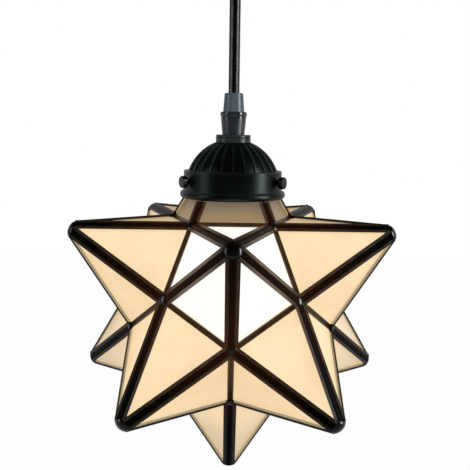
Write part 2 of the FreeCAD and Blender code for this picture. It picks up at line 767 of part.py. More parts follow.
def make_ridge_came():
    """The strip of one ridge: a crowned ribbon across the ridge, on a web that holds both panes."""
    thick, inner, lift = cell("leaf_thick"), cell("inner_leaf"), cell("ribbon_lift")
    edge, depth = cell("ridge_inset") - cell("came_gap"), -(cell("pane_thick") + cell("came_gap"))
    half = [(edge + inner, depth - thick), (edge + inner, depth), (edge, depth), (edge, 0)]
    right = [leaf_point(along, above, 1, -1) for along, above in half]
    left = [leaf_point(along, above, -1, -1) for along, above in reversed(half)]
    root, rise = edge * SIN_HALF, lift + cell("ribbon_thick") / 2
    keel = (0, (depth - thick) / SIN_HALF)
    web_shape = [keel] + right + [(root, rise), (-root, rise)] + left
    wide, crown, top = cell("ribbon_width") / 2, cell("crown_width") / 2, lift + cell("ribbon_thick")
    ribbon_shape = [(-wide, lift), (wide, lift), (wide, top), (crown, top, cell("crown_radius")),
                    (-crown, top), (-wide, top)]
    lean = math.radians(RIDGE_LEAN)
    run = Vector(0, math.sin(lean), math.cos(lean))
    out = Vector(0, -math.cos(lean), math.sin(lean))
    corner = (0, -BASE_CIRCUMRADIUS * pane_base, face_height)
    hub, length = cell("hub_radius"), GOLDEN * pane_base
    start = [corner[i] + run[i] * hub for i in range(3)]
    radial = Vector(0, -BASE_CIRCUMRADIUS, FACE_DISTANCE).normalize()
    webs, ribbons, clear = [], [], cell("mitre_gap") / 2
    for side, name in ((-1, "left"), (1, "right")):
        across = X * (side * SIN_HALF) - out * COS_HALF
        webs.append(cutter("web_mitre_" + name, corner, run * COS_MITRE + across * SIN_MITRE,
                           across * COS_MITRE - run * SIN_MITRE, clear=clear))
        valley = facing(90 * side + 36 * side)
        away = (valley.cross(radial) * side).normalize()
        ribbons.append(cutter("ribbon_mitre_" + name, corner, radial, away, clear=clear))
    pieces = []
    for label, shape, mitres in (("web", web_shape, webs), ("ribbon", ribbon_shape, ribbons)):
        body = new_body("ridge_%s_pattern" % label)
        section = outline(body, "ridge_%s_section" % label, "XY_Plane", shape, at=start,
                          turn=Rotation(X, out, -run, "XYZ"))
        pad(body, "ridge_%s_strip" % label, section, length - hub, backwards=True)
        pieces.append(cut_with("ridge_" + label, body, mitres))
    joined = doc.addObject("Part::MultiFuse", "ridge_joined")
    joined.Shapes = pieces
    tip = face_height + cap_start
    ends = [cutter("tip_saw", (0, 0, tip), X, Z)]
    for side, name in ((-1, "left"), (1, "right")):
        ends.append(cutter("tip_mitre_" + name, (0, 0, tip), Z, facing(36 * side + 90 * side), clear=clear))
    return cut_with("ridge_came", joined, ends)


def make_valley_came():
    """The narrow strip in the valley between two points, mitred at both hubs."""
    body = new_body("valley_came_pattern")
    leaf, thick = cell("valley_leaf"), cell("leaf_thick")
    edge, depth = cell("valley_inset") - cell("came_gap"), -cell("heart_depth")
    half = [(edge, depth), (edge, 0), (leaf, 0), (leaf, thick)]
    right = [leaf_point(along, above, 1, 1) for along, above in half]
    left = [leaf_point(along, above, -1, 1) for along, above in reversed(half)]
    groove = (0, thick / SIN_HALF)
    hub = cell("hub_radius")
    height = EDGE_DISTANCE * pane_base
    section = outline(body, "valley_section", "XY_Plane", right + [groove] + left,
                      at=(hub - pane_base / 2, 0, height), turn=Rotation(Y, Z, X, "XYZ"))
    pad(body, "valley_strip", section, pane_base - 2 * hub)
    cutters, clear = [], cell("mitre_gap") / 2
    for end in (-1, 1):
        for side in (-1, 1):
            across = Y * (side * SIN_HALF) + Z * COS_HALF
            name = "valley_mitre_%s_%s" % ("left" if end < 0 else "right", "front" if side < 0 else "back")
            cutters.append(cutter(name, (end * pane_base / 2, 0, height),
                                  X * (-end * COS_MITRE) + across * SIN_MITRE,
                                  X * (end * SIN_MITRE) + across * COS_MITRE, clear=clear))
    return cut_with("valley_came", body, cutters)


def make_points():
    """The panes and ridge cames of the twelve points; the top one is sawn off for the collar."""
    whole, short = make_pane("pane_pattern", False), make_pane("short_pane_pattern", True)
    came = make_ridge_came()
    saw = cutter("collar_saw", (0, 0, face_height + cell("top_rise")), X, Z, reach=120)
    short_came = cut_with("short_came", came, [saw])
    for name, turn in POINT_TURNS.items():
        pane, strip = (short, short_came) if name == "top" else (whole, came)
        panes = [linked(pane, "pane_%s_%d" % (name, k), turn=turn * about(Z, 72 * k)) for k in range(5)]
        grouped("panes_" + name, panes, (0, 0, star_centre))
        strips = [linked(strip, "came_%s_%d" % (name, k), turn=turn * about(Z, 36 + 72 * k))
                  for k in range(5)]
        grouped("ridge_cames_" + name, strips, (0, 0, star_centre))


def make_joints():
    """The valley cames, the solder beads at the hubs and the soldered caps on the tips."""
    came = make_valley_came()
    strips = []
    for number, (first, last) in enumerate(EDGES):
        middle = ((first + last) * 0.5).normalize()
        run = (last - first).normalize()
        strips.append(linked(came, "valley_%d" % number, turn=Rotation(run, middle.cross(run), middle, "XYZ")))
    grouped("valley_cames", strips, (0, 0, star_centre))
    ball = cell("hub_radius") - cell("came_gap") / 2
    slope = ball * math.sqrt(0.5)
    bead = turned_piece("bead_pattern", [(0, -ball), (slope, -slope), (ball, 0), (slope, slope), (0, ball)])
    beads = [linked(bead, "bead_%d" % number, [value * pane_base for value in corner])
             for number, corner in enumerate(CORNERS)]
    grouped("solder_beads", beads, (0, 0, star_centre))
    radius, blunt = cell("cap_radius"), cell("cap_blunt")
    start, end = face_height + cap_start, face_height + cap_end
    cap = turned_piece("tip_cap_pattern", [
        (0, start), (radius, start), (radius, start + blunt), (blunt, end), (0, end)])
    caps = [linked(cap, "cap_" + name, turn=turn) for name, turn in POINT_TURNS.items() if name != "top"]
    grouped("tip_caps", caps, (0, 0, star_centre))


def make_shade_collar():
    """The ring on top of the star: a flange on the sawn panes and a neck for the screws."""
    radius, height, thin = cell("collar_radius"), cell("collar_height"), cell("collar_wall")
    flange = cell("collar_flange")
    turned_piece("shade_collar", [
        (radius - thin, 0), (flange, 0), (flange, thin), (radius, thin), (radius, height),
        (radius - thin, height)], at=(0, 0, saw_height))


NODES = [
    "crossbar", "canopy_studs", "cap_nuts", "ground_screw", "canopy", "canopy_grip", "grip_locknut",
    "terminal_block", "cord_in_canopy", "cord_bend", "cord_free", "cord_in_fitter", "strain_relief",
    "neck_collar", "check_ring", "hollow_rod", "rod_locknut", "shade_fitter", "thumb_screw_1",
    "thumb_screw_2", "thumb_screw_3", "holder_cap", "holder_shell", "threaded_sleeve", "centre_contact",
    "bulb_base", "bulb_contact", "bulb_glass", "bulb_stem", "shade_collar", "valley_cames",
    "solder_beads", "tip_caps",
]
NODES += ["panes_" + name for name in POINT_TURNS] + ["ridge_cames_" + name for name in POINT_TURNS]


def build():
    make_crossbar()
    make_canopy()
    make_canopy_fixings()
    make_canopy_grip()
    make_cord()
    make_neck_pieces()
    make_fitter()
    make_thumb_screws()
    make_lamp_holder()
    make_bulb()
    make_points()
    make_joints()
    make_shade_collar()
    doc.recompute()


def check_and_write():
    """Stops on any failed object, then writes each sub-part to its own file."""
    failed = [thing.Name for thing in doc.Objects if {"Invalid", "Error"} & set(thing.State)]
    if failed:
        raise RuntimeError("these objects failed: " + ", ".join(failed))
    os.makedirs("parts", exist_ok=True)
    for label in NODES:
        node = doc.getObjectsByLabel(label)[0]
        if node.Shape.isNull() or not node.Shape.isValid():
            raise RuntimeError("%s has no sound shape" % label)
        node.Shape.exportStep("parts/%s.step" % label)


build()
check_and_write()
print("star centre %.2f mm, swing point %.2f mm, bend point %.2f mm, relief top %.2f mm, lip %.2f mm"
      % (star_centre.number, swing_point.number, bend_point.number, relief_top.number, lip_foot.number))
print("cord: free length %.1f mm, straight, no bends" % cell("cord_free").number)
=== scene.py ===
import bpy
import json
import math
from mathutils import Matrix, Vector

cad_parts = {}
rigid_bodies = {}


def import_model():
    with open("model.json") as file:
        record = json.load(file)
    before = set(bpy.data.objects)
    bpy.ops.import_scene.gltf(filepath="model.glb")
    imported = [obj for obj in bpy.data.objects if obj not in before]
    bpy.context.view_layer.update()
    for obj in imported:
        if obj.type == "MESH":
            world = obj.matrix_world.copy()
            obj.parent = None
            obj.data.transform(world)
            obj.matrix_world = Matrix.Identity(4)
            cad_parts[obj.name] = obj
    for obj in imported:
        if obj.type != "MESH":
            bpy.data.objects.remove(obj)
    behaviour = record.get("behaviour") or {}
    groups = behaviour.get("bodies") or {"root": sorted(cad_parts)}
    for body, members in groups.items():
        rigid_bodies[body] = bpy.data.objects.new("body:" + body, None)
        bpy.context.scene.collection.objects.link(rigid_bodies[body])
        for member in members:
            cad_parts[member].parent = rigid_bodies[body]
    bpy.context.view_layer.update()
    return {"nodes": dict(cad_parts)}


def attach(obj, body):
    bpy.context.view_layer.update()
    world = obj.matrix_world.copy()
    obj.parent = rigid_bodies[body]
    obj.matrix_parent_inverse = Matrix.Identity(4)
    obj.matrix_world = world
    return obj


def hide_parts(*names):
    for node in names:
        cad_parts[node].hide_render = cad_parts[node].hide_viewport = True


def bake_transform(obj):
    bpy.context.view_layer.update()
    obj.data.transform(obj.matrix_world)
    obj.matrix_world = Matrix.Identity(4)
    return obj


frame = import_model()
nodes = frame["nodes"]
scene = bpy.context.scene
print("frame: %d nodes" % len(nodes))

mm = 0.001
pointNames = ["top", "bottom"] + [ring + "_%d" % k for ring in ("upper", "lower") for k in range(1, 6)]
starCentre = Vector((0, 0, -0.2532))


def clearSelection():
    if bpy.context.object and bpy.context.object.mode != "OBJECT":
        bpy.ops.object.mode_set(mode="OBJECT")
    bpy.ops.object.select_all(action="DESELECT")


# camera: place in metres, angles in degrees

camera = {"place": (-0.0035, -0.4700, -0.1357), "lens": 51.7, "sensor": 36, "near": 0.01,
          "down": 8.53, "turn": -0.69, "roll": 0.85}


def addCamera():
    clearSelection()
    bpy.ops.object.camera_add(location=camera["place"])
    eye = bpy.context.object
    eye.name = "camera"
    turn = Matrix.Rotation(math.radians(camera["turn"]), 4, "Z")
    tip = Matrix.Rotation(math.radians(90 - camera["down"]), 4, "X")
    roll = Matrix.Rotation(math.radians(camera["roll"]), 4, "Z")
    eye.matrix_world = Matrix.Translation(camera["place"]) @ turn @ tip @ roll
    eye.data.lens = camera["lens"]
    eye.data.sensor_width = camera["sensor"]
    eye.data.clip_start = camera["near"]
    scene.camera = eye
    print("camera placed")


# node helpers: a feed is a socket, a number or a colour

def addNode(tree, kind, **settings):
    node = tree.nodes.new(kind)
    for key, value in settings.items():
        setattr(node, key, value)
    return node


def feedInto(tree, socket, feed):
    if isinstance(feed, bpy.types.NodeSocket):
        tree.links.new(feed, socket)
    elif isinstance(feed, tuple) and len(feed) == 3 and socket.type == "RGBA":
        socket.default_value = feed + (1,)
    else:
        socket.default_value = feed


def mathNode(tree, operation, *feeds):
    node = addNode(tree, "ShaderNodeMath", operation=operation)
    for slot, feed in enumerate(feeds):
        feedInto(tree, node.inputs[slot], feed)
    return node.outputs[0]


def stretched(tree, value, fromLow, fromHigh, toLow=0.0, toHigh=1.0, smooth=False):
    kind = "SMOOTHSTEP" if smooth else "LINEAR"
    node = addNode(tree, "ShaderNodeMapRange", interpolation_type=kind)
    ends = (("From Min", fromLow), ("From Max", fromHigh), ("To Min", toLow), ("To Max", toHigh))
    for key, feed in (("Value", value),) + ends:
        feedInto(tree, node.inputs[key], feed)
    return node.outputs["Result"]


def mixColour(tree, amount, first, second):
    node = addNode(tree, "ShaderNodeMix", data_type="RGBA")
    for slot, feed in ((0, amount), (6, first), (7, second)):
        feedInto(tree, node.inputs[slot], feed)
    return node.outputs[2]


def noise(tree, scale, detail, rough):
    where = addNode(tree, "ShaderNodeTexCoord")
    node = addNode(tree, "ShaderNodeTexNoise")
    tree.links.new(where.outputs["Object"], node.inputs["Vector"])
    for key, feed in (("Scale", scale), ("Detail", detail), ("Roughness", rough)):
        feedInto(tree, node.inputs[key], feed)
    return node.outputs["Fac"]


def axesOf(tree, source="Object"):
    where = addNode(tree, "ShaderNodeTexCoord")
    split = addNode(tree, "ShaderNodeSeparateXYZ")
    tree.links.new(where.outputs[source], split.inputs["Vector"])
    return [split.outputs[key] for key in "XYZ"]


def bump(tree, height, depth, strength):
    node = addNode(tree, "ShaderNodeBump")
    for key, feed in (("Height", height), ("Distance", depth), ("Strength", strength)):
        feedInto(tree, node.inputs[key], feed)
    return node.outputs["Normal"]


# node groups: effects that several materials share. The noise lies mostly within softSpan

nodeGroups = {}
softSpan = (0.3, 0.7)


def newGroup(name, inputs, outputs):
    tree = bpy.data.node_groups.new(name, "ShaderNodeTree")
    for label, kind in inputs:
        tree.interface.new_socket(name=label, in_out="INPUT", socket_type="NodeSocket" + kind)
    for label, kind in outputs:
        tree.interface.new_socket(name=label, in_out="OUTPUT", socket_type="NodeSocket" + kind)
    nodeGroups[name] = tree
    given = addNode(tree, "NodeGroupInput").outputs
    return tree, given, addNode(tree, "NodeGroupOutput").inputs


def useGroup(tree, name, **feeds):
    node = addNode(tree, "ShaderNodeGroup", node_tree=nodeGroups[name])
    for label, feed in feeds.items():
        feedInto(tree, node.inputs[label], feed)
    return node.outputs


def makeMottle():
    tree, given, out = newGroup("mottle", [
        ("scale", "Float"), ("detail", "Float"), ("breakUp", "Float"), ("low", "Float"), ("high", "Float"),
        ("dark", "Color"), ("light", "Color")], [("colour", "Color"), ("soft", "Float")])
    soft = noise(tree, given["scale"], given["detail"], given["breakUp"])
    amount = stretched(tree, soft, given["low"], given["high"])
    feedInto(tree, out["colour"], mixColour(tree, amount, given["dark"], given["light"]))
    feedInto(tree, out["soft"], soft)


def makeGrain():
    tree, given, out = newGroup("grain", [
        ("scale", "Float"), ("detail", "Float"), ("breakUp", "Float"), ("depth", "Float"),
        ("strength", "Float")], [("normal", "Vector")])
    fine = noise(tree, given["scale"], given["detail"], given["breakUp"])
    feedInto(tree, out["normal"], bump(tree, fine, given["depth"], given["strength"]))


def makeAlongAxis():
    tree, given, out = newGroup("alongAxis", [("axis", "Vector"), ("low", "Float"), ("high", "Float")],
                                [("mask", "Float")])
    where = addNode(tree, "ShaderNodeTexCoord")
    centred = addNode(tree, "ShaderNodeVectorMath", operation="SUBTRACT")
    centred.inputs[1].default_value = starCentre
    along = addNode(tree, "ShaderNodeVectorMath", operation="DOT_PRODUCT")
    tree.links.new(where.outputs["Object"], centred.inputs[0])
    tree.links.new(centred.outputs["Vector"], along.inputs[0])
    tree.links.new(given["axis"], along.inputs[1])
    mask = stretched(tree, along.outputs["Value"], given["low"], given["high"], smooth=True)
    feedInto(tree, out["mask"], mask)


# warm light of the lamp on the cames: it fades between two distances from the lamp, in metres

lampWarmth = {"place": (0.0, -0.030, -0.236), "from": 0.05, "to": 0.10, "colour": (0.014, 0.004, 0.001)}


def makeLampWarmth():
    tree, given, out = newGroup("lampWarmth", [("warmth", "Float")], [("colour", "Color")])
    where = addNode(tree, "ShaderNodeTexCoord")
    gap = addNode(tree, "ShaderNodeVectorMath", operation="DISTANCE")
    gap.inputs[1].default_value = lampWarmth["place"]
    tree.links.new(where.outputs["Object"], gap.inputs[0])
    fade = stretched(tree, gap.outputs["Value"], lampWarmth["from"], lampWarmth["to"], 1.0, 0.0)
    glow = addNode(tree, "ShaderNodeVectorMath", operation="SCALE")
    glow.inputs[0].default_value = lampWarmth["colour"]
    tree.links.new(mathNode(tree, "MULTIPLY", fade, given["warmth"]), glow.inputs["Scale"])
    feedInto(tree, out["colour"], glow.outputs["Vector"])


def makeNearLevel():
    tree, given, out = newGroup("nearLevel", [
        ("value", "Float"), ("level", "Float"), ("outer", "Float"), ("inner", "Float")],
        [("mask", "Float")])
    gap = mathNode(tree, "ABSOLUTE", mathNode(tree, "SUBTRACT", given["value"], given["level"]))
    feedInto(tree, out["mask"], stretched(tree, gap, given["outer"], given["inner"], smooth=True))


def makeGroups():
    for make in (makeMottle, makeGrain, makeAlongAxis, makeLampWarmth, makeNearLevel):
        make()
    print("node groups: %d" % len(nodeGroups))


# materials

shaderSlots = {"metallic": "Metallic", "rough": "Roughness", "gloss": "Specular IOR Level",
               "tint": "Specular Tint", "emission": "Emission Strength"}


def newMaterial(name, **settings):
    made = bpy.data.materials.new(name)
    made.use_nodes = True
    shader = made.node_tree.nodes["Principled BSDF"]
    for key, value in settings.items():
        shader.inputs[shaderSlots[key]].default_value = value
    return made, made.node_tree, shader.inputs


def addSkin(tree, shader, look, **mottle):
    skin = useGroup(tree, "mottle", dark=look["dark"], light=look["light"], **mottle)
    rough = stretched(tree, skin["soft"], *softSpan, *look["rough"])
    feedInto(tree, shader["Base Color"], skin["colour"])
    feedInto(tree, shader["Roughness"], rough)
    return skin, rough


def addGrain(tree, shader, **grain):
    feedInto(tree, shader["Normal"], useGroup(tree, "grain", **grain)["normal"])


# paint, plastic and bare metal: each with the nodes it goes on

paints = {
    "blackMetal": {"dark": (0.0012, 0.0016, 0.0015), "light": (0.003, 0.0045, 0.004),
                   "rough": (0.26, 0.34), "gloss": 0.3, "on": ("canopy", "cap_nuts", "shade_collar")},
    # check_ring: the black paint made paler all over, a painted highlight
    "ringBlackPaintedHighlight": {"dark": (0.012, 0.018, 0.017), "light": (0.022, 0.031, 0.029),
                  "rough": (0.26, 0.34), "on": ("check_ring",)},
    "screwBlack": {"dark": (0.02, 0.022, 0.022), "light": (0.12, 0.12, 0.11), "rough": (0.12, 0.24),
                   "metallic": 1.0, "on": ("thumb_screw_1", "thumb_screw_2", "thumb_screw_3")},
    "zincSteel": {"dark": (0.42, 0.42, 0.41), "light": (0.58, 0.58, 0.57), "rough": (0.25, 0.4),
                  "metallic": 1.0,
                  "on": ("crossbar", "canopy_studs", "ground_screw", "rod_locknut", "hollow_rod")},
    "brass": {"dark": (0.62, 0.44, 0.17), "light": (0.75, 0.56, 0.26), "rough": (0.2, 0.35),
              "metallic": 1.0, "on": ("threaded_sleeve", "centre_contact", "bulb_base", "bulb_contact")},
    "blackPlastic": {"dark": (0.012, 0.012, 0.013), "light": (0.025, 0.025, 0.026),
                     "rough": (0.4, 0.5), "on": ("canopy_grip", "grip_locknut", "holder_cap",
                                                 "holder_shell")},
    "greyPlastic": {"dark": (0.055, 0.075, 0.095), "light": (0.075, 0.100, 0.125),
                    "rough": (0.22, 0.30), "on": ("strain_relief",)},
    "palePlastic": {"dark": (0.72, 0.70, 0.65), "light": (0.8, 0.78, 0.74), "rough": (0.4, 0.5),
                    "on": ("terminal_block",)},
    "frostedGlass": {"dark": (0.85, 0.83, 0.78), "light": (0.92, 0.9, 0.86), "rough": (0.3, 0.4),
                     "on": ("bulb_glass", "bulb_stem")}}


def dress(material, *names):
    for name in names:
        piece = nodes[name]
        piece.data.materials.clear()
        piece.data.materials.append(material)


def addPaints():
    for name, paint in paints.items():
        made, tree, shader = newMaterial(name, metallic=paint.get("metallic", 0.0),
                                         gloss=paint.get("gloss", 0.5))
        addSkin(tree, shader, paint, scale=60, detail=6, breakUp=0.6, low=0.35, high=0.7)
        addGrain(tree, shader, scale=900, detail=3, breakUp=0.6, depth=0.000006, strength=1.0)
        dress(made, *paint["on"])


# glass of the star: opal panes whose glow is painted light of the lamp inside; the front point stands
# right before the lamp and burns white, the rear and the bottom point are dimmer, and the top point under
# the fitter has a painted shadow. each zone is an axis from the star's centre and the two distances
# between which it sets in

glass = {"white": ((0.0, -0.894427, 0.447214), 0.0575, 0.0635), "whiteColour": (0.95, 0.95, 0.90),
         "front": ((0.0, -1.0, 0.3), -0.045, 0.03),
         "low": ((0, 0, -1), 0.075, 0.105), "lowColour": (0.62, 0.48, 0.30),
         "top": ((0, 0, 1), 0.0545, 0.0615), "paintedShadeBody": (0.07, 0.055, 0.04),
         "lip": ((0, 0, 1), 0.062, 0.072), "tan": ((0.25, 0.16, 0.075), (0.14, 0.105, 0.065)),
         "cream": ((0.81, 0.575, 0.33), (0.86, 0.645, 0.39)),
         "rear": ((0.60, 0.46, 0.31), (0.68, 0.535, 0.37)),
         "body": ((0.15, 0.13, 0.10), (0.19, 0.17, 0.13)),
         "edgeGlow": ((0.30, 0.235, 0.13), (0.38, 0.30, 0.17)),
         "edgeBody": ((0.17, 0.15, 0.12), (0.21, 0.19, 0.15))}


def zone(tree, name):
    axis, low, high = glass[name]
    return useGroup(tree, "alongAxis", axis=axis, low=low, high=high)["mask"]


def cloudy(tree, name, scale, detail):
    dark, light = glass[name]
    return useGroup(tree, "mottle", scale=scale, detail=detail, breakUp=0.55, low=softSpan[0],
                    high=softSpan[1], dark=dark, light=light)["colour"]


def starGlass():
    made, tree, shader = newMaterial("starGlass", emission=1.0, rough=0.3, gloss=0.3)
    cream, rear, body = [cloudy(tree, name, 26, 5) for name in ("cream", "rear", "body")]
    # painted light of the lamp: brighter towards the front, dimmer at the bottom point
    lit = mixColour(tree, zone(tree, "front"), rear, cream)
    lit = mixColour(tree, zone(tree, "low"), lit, glass["lowColour"])
    # painted shadow under the fitter on the top point, darker towards its lip, in the glow and in the base
    # colour
    tan = mixColour(tree, zone(tree, "lip"), *glass["tan"])
    topmost = zone(tree, "top")
    shade = mixColour(tree, topmost, lit, tan)
    glow = mixColour(tree, zone(tree, "white"), shade, glass["whiteColour"])
    feedInto(tree, shader["Emission Color"], glow)
    feedInto(tree, shader["Base Color"], mixColour(tree, topmost, body, glass["paintedShadeBody"]))
    addGrain(tree, shader, scale=420, detail=3, breakUp=0.5, depth=0.00004, strength=0.4)
    return made


# heart of the came strips between two panes: a painted glow of the lamp's light through the pane edges
def heartPaintedGlow():
    made, tree, shader = newMaterial("heartPaintedGlow", emission=1.0, rough=0.5)
    feedInto(tree, shader["Emission Color"], cloudy(tree, "edgeGlow", 60, 4))
    feedInto(tree, shader["Base Color"], cloudy(tree, "edgeBody", 60, 4))
    return made


# cames and solder: near black, with painted warm light of the lamp. The flanges are a paler copy of the
# came metal, a painted sheen, and the valley cames a browner one, painted light of the glowing panes. The
# flanges beside the white glass of the front point catch its light as a painted glow, between these
# distances along its axis and to the side, in metres

cameGlow = {"front": (0.062, 0.080), "aside": (0.004, 0.018)}
cames = {
    "cameMetal": {"dark": (0.0006, 0.0005, 0.0004), "light": (0.0028, 0.0022, 0.0016), "warmth": 1.0,
                  "rough": (0.2, 0.32), "gloss": 0.025, "grain": 500, "depth": 0.00002},
    # valley cames: a browner, paler came metal with more warm light, painted light of the glowing panes
    "valleyCamePaintedGlow": {"dark": (0.010, 0.0075, 0.003), "light": (0.032, 0.025, 0.012), "warmth": 1.5,
                    "rough": (0.2, 0.32), "gloss": 0.5, "grain": 500, "depth": 0.00002},
    # came flanges: a paler came metal, a painted sheen, with more warm light and a painted glow beside the
    # front point
    "cameRimPaintedSheen": {"dark": (0.010, 0.008, 0.005), "light": (0.034, 0.028, 0.018), "warmth": 2.2,
                "rough": (0.3, 0.42), "gloss": 0.25, "grain": 500, "depth": 0.00002,
                "glow": (0.115, 0.088, 0.065)},
    "solderMetal": {"dark": (0.0006, 0.0005, 0.0004), "light": (0.0028, 0.0022, 0.0016), "warmth": 0.15,
                    "rough": (0.12, 0.24), "gloss": 0.8, "grain": 260, "depth": 0.0002}}


def cameMetal(name):
    look = cames[name]
    made, tree, shader = newMaterial(name, emission=1.0, gloss=look["gloss"])
    addSkin(tree, shader, look, scale=160, detail=5, breakUp=0.6, low=0.3, high=0.75)
    warm = useGroup(tree, "lampWarmth", warmth=look["warmth"])["colour"]
    if "glow" in look:
        near, far = cameGlow["front"]
        front = useGroup(tree, "alongAxis", axis=glass["white"][0], low=near, high=far)["mask"]
        near, far = cameGlow["aside"]
        aside = [useGroup(tree, "alongAxis", axis=(side, 0, 0), low=near, high=far)["mask"]
                 for side in (-1, 1)]
        front = mathNode(tree, "MULTIPLY", front, mathNode(tree, "MAXIMUM", *aside))
        warm = mixColour(tree, front, warm, look["glow"])
    feedInto(tree, shader["Emission Color"], warm)
    addGrain(tree, shader, scale=look["grain"], detail=2, breakUp=0.5, depth=look["depth"], strength=0.5)
    return made


# fitter: black paint with a painted highlight: paler on the rib crests and on the rims, more so towards
# the two sides, and on the ring at the top; levels in metres

fitter = {"crests": 24, "crestHalf": (0.0009, 0.00045), "dome": (-0.1605, -0.1425),
          "ringRadius": 0.0125, "ringHighlight": 0.35, "rims": (-0.1612, -0.1748),
          "rimHalf": (0.0009, 0.0004), "aside": (0.2, 0.7, 0.18, 0.9), "patchy": (0.5, 1.0),
          "dark": (0.0008, 0.0012, 0.0011), "light": (0.0022, 0.0034, 0.003),
          "paintedHighlight": (0.026, 0.033, 0.031), "rough": (0.27, 0.34), "tint": (0.80, 1.0, 0.93, 1)}


def fitterBlack():
    made, tree, shader = newMaterial("fitterBlack", gloss=0.3, tint=fitter["tint"])
    across, back, level = axesOf(tree)
    skin = addSkin(tree, shader, fitter, scale=60, detail=6, breakUp=0.6, low=0.35, high=0.7)[0]
    angle = mathNode(tree, "ARCTAN2", back, across)
    squares = [mathNode(tree, "MULTIPLY", side, side) for side in (across, back)]
    radius = mathNode(tree, "SQRT", mathNode(tree, "ADD", *squares))
    wave = mathNode(tree, "SINE", mathNode(tree, "MULTIPLY", angle, fitter["crests"] / 2))
    arc = mathNode(tree, "MULTIPLY", mathNode(tree, "MULTIPLY", wave, radius), 2 / fitter["crests"])
    low, high = fitter["dome"]
    inDome = mathNode(tree, "MULTIPLY", mathNode(tree, "GREATER_THAN", level, low),
                      mathNode(tree, "LESS_THAN", level, high))
    outer, inner = fitter["crestHalf"]
    # painted highlight: the rib crests of the dome and the rims, in patches and stronger to the sides, and
    # the ring
    crest = useGroup(tree, "nearLevel", value=arc, level=0.0, outer=outer, inner=inner)["mask"]
    paintedHighlight = mathNode(tree, "MULTIPLY", crest, inDome)
    outer, inner = fitter["rimHalf"]
    for rim in fitter["rims"]:
        edge = useGroup(tree, "nearLevel", value=level, level=rim, outer=outer, inner=inner)["mask"]
        paintedHighlight = mathNode(tree, "MAXIMUM", paintedHighlight, edge)
    patchy = stretched(tree, skin["soft"], *softSpan, *fitter["patchy"])
    paintedHighlight = mathNode(tree, "MULTIPLY", paintedHighlight, patchy)
    share = mathNode(tree, "DIVIDE", mathNode(tree, "ABSOLUTE", across), radius)
    paintedHighlight = mathNode(tree, "MULTIPLY", paintedHighlight, stretched(tree, share, *fitter["aside"], smooth=True))
    inRing = mathNode(tree, "LESS_THAN", radius, fitter["ringRadius"])
    paintedHighlight = mathNode(tree, "MAXIMUM", paintedHighlight, mathNode(tree, "MULTIPLY", inRing, fitter["ringHighlight"]))
    feedInto(tree, shader["Base Color"], mixColour(tree, paintedHighlight, skin["colour"], fitter["paintedHighlight"]))
    addGrain(tree, shader, scale=700, detail=3, breakUp=0.6, depth=0.000006, strength=1.0)
    return made


# collar under the strain relief: glossy black with turned rings below its lip

collar = {"ringsFrom": -0.1255, "ringsFade": 0.001, "pitch": 0.0013, "ringDepth": 0.000015,
          "dark": (0.010, 0.013, 0.017), "light": (0.018, 0.023, 0.029), "rough": (0.08, 0.14),
          "ringRough": 0.22}


def collarBlack():
    made, tree, shader = newMaterial("collarBlack", gloss=0.9)
    level = axesOf(tree)[2]
    rough = addSkin(tree, shader, collar, scale=120, detail=4, breakUp=0.5, low=softSpan[0],
                    high=softSpan[1])[1]
    wave = mathNode(tree, "SINE", mathNode(tree, "MULTIPLY", level, 2 * math.pi / collar["pitch"]))
    below = stretched(tree, level, collar["ringsFrom"], collar["ringsFrom"] - collar["ringsFade"])
    rings = mathNode(tree, "MULTIPLY", wave, below)
    rough = mathNode(tree, "MULTIPLY_ADD", below, collar["ringRough"], rough)
    feedInto(tree, shader["Roughness"], rough)
    feedInto(tree, shader["Normal"], bump(tree, rings, collar["ringDepth"], 0.6))
    return made


# cord: a glossy sheath over twisted cores, hanging taut. Points and radius are in millimetres, length,
# pitch and twistDepth in metres. The two pale stripes are painted highlights: they lie at a share of the
# radius, and fade out and are full at the next two values

cord = {"points": (-42.0, -46.0, -51.0, -56.0, -66.0, -79.0, -92.0, -103.0, -108.38),
        "radius": 3.75, "length": 0.066, "pitch": 0.0135, "twistDepth": 0.0001,
        "highlightStripe": (0.55, 0.3, 0.08), "dark": (0.0012, 0.0012, 0.0015), "light": (0.085, 0.092, 0.092)}


def cordSheath():
    made, tree, shader = newMaterial("cordSheath", rough=0.28, gloss=0.35)
    across, back, level = axesOf(tree)
    angle = mathNode(tree, "ARCTAN2", back, across)
    turns = mathNode(tree, "MULTIPLY", level, 2 * math.pi / cord["pitch"])
    twist = mathNode(tree, "SINE", mathNode(tree, "ADD", mathNode(tree, "MULTIPLY", angle, 2.0), turns))
    twist = mathNode(tree, "MULTIPLY_ADD", twist, 0.5, 0.5)
    side = mathNode(tree, "ABSOLUTE", mathNode(tree, "COSINE", angle))
    # painted highlights: pale lines along either side of the sheath, broken by the twist
    middle, outer, inner = cord["highlightStripe"]
    highlightStripe = useGroup(tree, "nearLevel", value=side, level=middle, outer=outer, inner=inner)["mask"]
    highlightStripe = mathNode(tree, "MULTIPLY", highlightStripe, mathNode(tree, "MULTIPLY_ADD", twist, 0.3, 0.7))
    pale = stretched(tree, highlightStripe, 0.1, 0.9)
    feedInto(tree, shader["Base Color"], mixColour(tree, pale, cord["dark"], cord["light"]))
    feedInto(tree, shader["Normal"], bump(tree, twist, cord["twistDepth"], 0.5))
    return made


